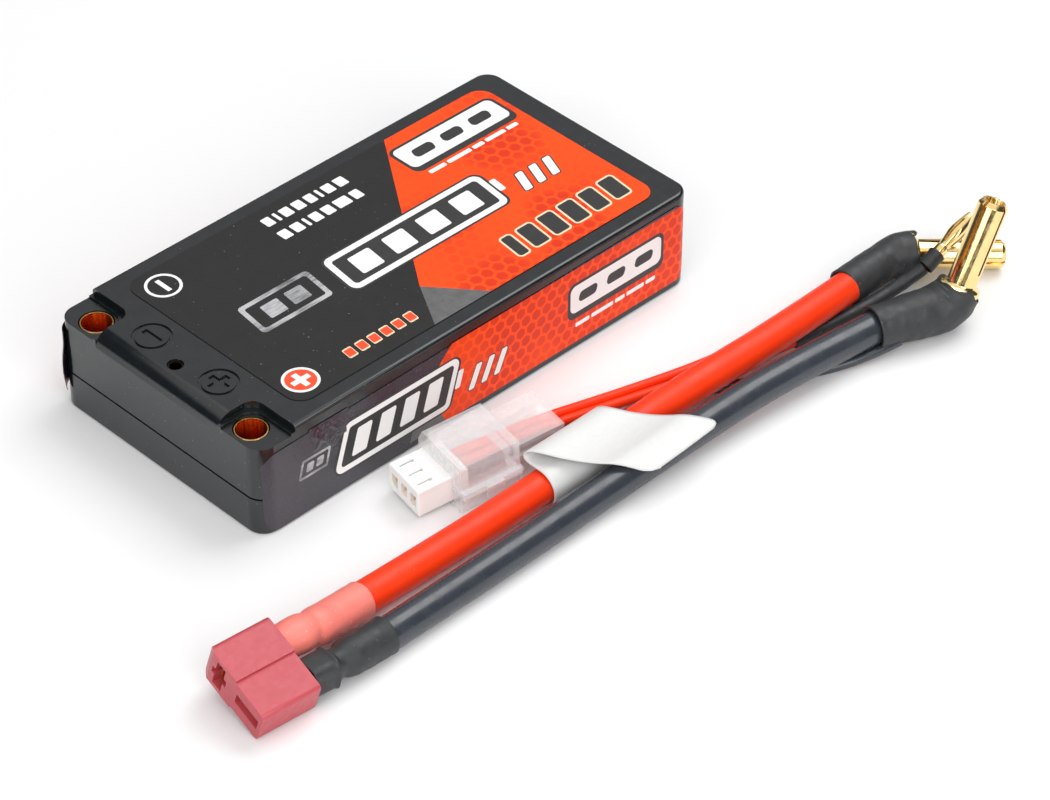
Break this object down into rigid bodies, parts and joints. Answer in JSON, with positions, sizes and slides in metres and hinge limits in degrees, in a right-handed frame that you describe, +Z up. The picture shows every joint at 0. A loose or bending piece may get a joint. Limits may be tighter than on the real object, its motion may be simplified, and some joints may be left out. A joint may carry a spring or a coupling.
{
  "type": "lipo battery pack",
  "caption": "Low hard-cased two-cell battery pack with sunk bullet sockets and its loose lead to a two-blade plug and a small balance plug.",
  "frame": {"origin": "middle of the pack's underside, on the surface that it lies on; the loose lead lies on the same surface", "axes": "+X along the pack away from its sockets, +Y across it away from the lead, +Z up"},
  "size_m": [0.1649, 0.0899, 0.0225],
  "materials": {
    "case_black": "satin moulded, fine speckle",
    "pouch_foil": "laminated foil pouch",
    "nickel": "plated strip",
    "foam": "thin tape and foam",
    "board": "glass-fibre sheet",
    "gold": "gold plated",
    "label_film": "printed film, satin laminate",
    "plug_red": "moulded nylon",
    "sleeve_pink": "heat-shrink tube",
    "sleeve_black": "heat-shrink tube, matt",
    "wire_red": "silicone insulation",
    "wire_black": "silicone insulation",
    "plug_white": "moulded nylon",
    "clip_frosted": "frosted translucent",
    "tag_white": "coated paper strip"
  },
  "bodies": {
    "pack": {"lower_shell": "case_black", "upper_shell": "case_black", "lower_cell": "pouch_foil", "upper_cell": "pouch_foil", "lower_cell_tabs": "nickel", "upper_cell_tabs": "nickel", "cell_tape": "foam", "cover_foam": "foam", "end_foam": "foam", "socket_board": "board", "positive_socket": "gold", "negative_socket": "gold", "balance_socket": "gold", "positive_busbar": "nickel", "negative_busbar": "nickel", "series_busbar": "nickel", "balance_strap": "nickel", "insulation_card": "board", "top_label": "label_film", "front_label": "label_film", "back_label": "label_film"},
    "lead": {"t_plug_housing": "plug_red", "flat_blade_contact": "gold", "upright_blade_contact": "gold", "red_plug_sleeve": "sleeve_pink", "black_plug_sleeve": "sleeve_black", "red_main_wire": "wire_red", "black_main_wire": "wire_black", "red_bullet_sleeve": "sleeve_black", "black_bullet_sleeve": "sleeve_black", "positive_bullet": "gold", "negative_bullet": "gold", "balance_pin": "gold", "balance_pin_sleeve": "sleeve_black", "balance_wire_red": "wire_red", "balance_wire_middle": "wire_red", "balance_wire_black": "wire_black", "balance_plug_housing": "plug_white", "balance_plug_terminals": "gold", "plug_clip_base": "clip_frosted", "wire_tag": "tag_white"},
    "clip_lid": {"plug_clip_lid": "clip_frosted"}
  },
  "joints": [
    {"name": "lead_lift", "type": "slide", "parent": "pack", "child": "lead", "axis": [0, 0, 1], "range_m": [0, 0.06]},
    {"name": "clip_lid_hinge", "type": "hinge", "parent": "lead", "child": "clip_lid", "pos_m": [-0.01376, -0.02944, 0.00487], "axis": [-0.9849, 0.1648, -0.0523], "range_deg": [0, 70]}
  ]
}
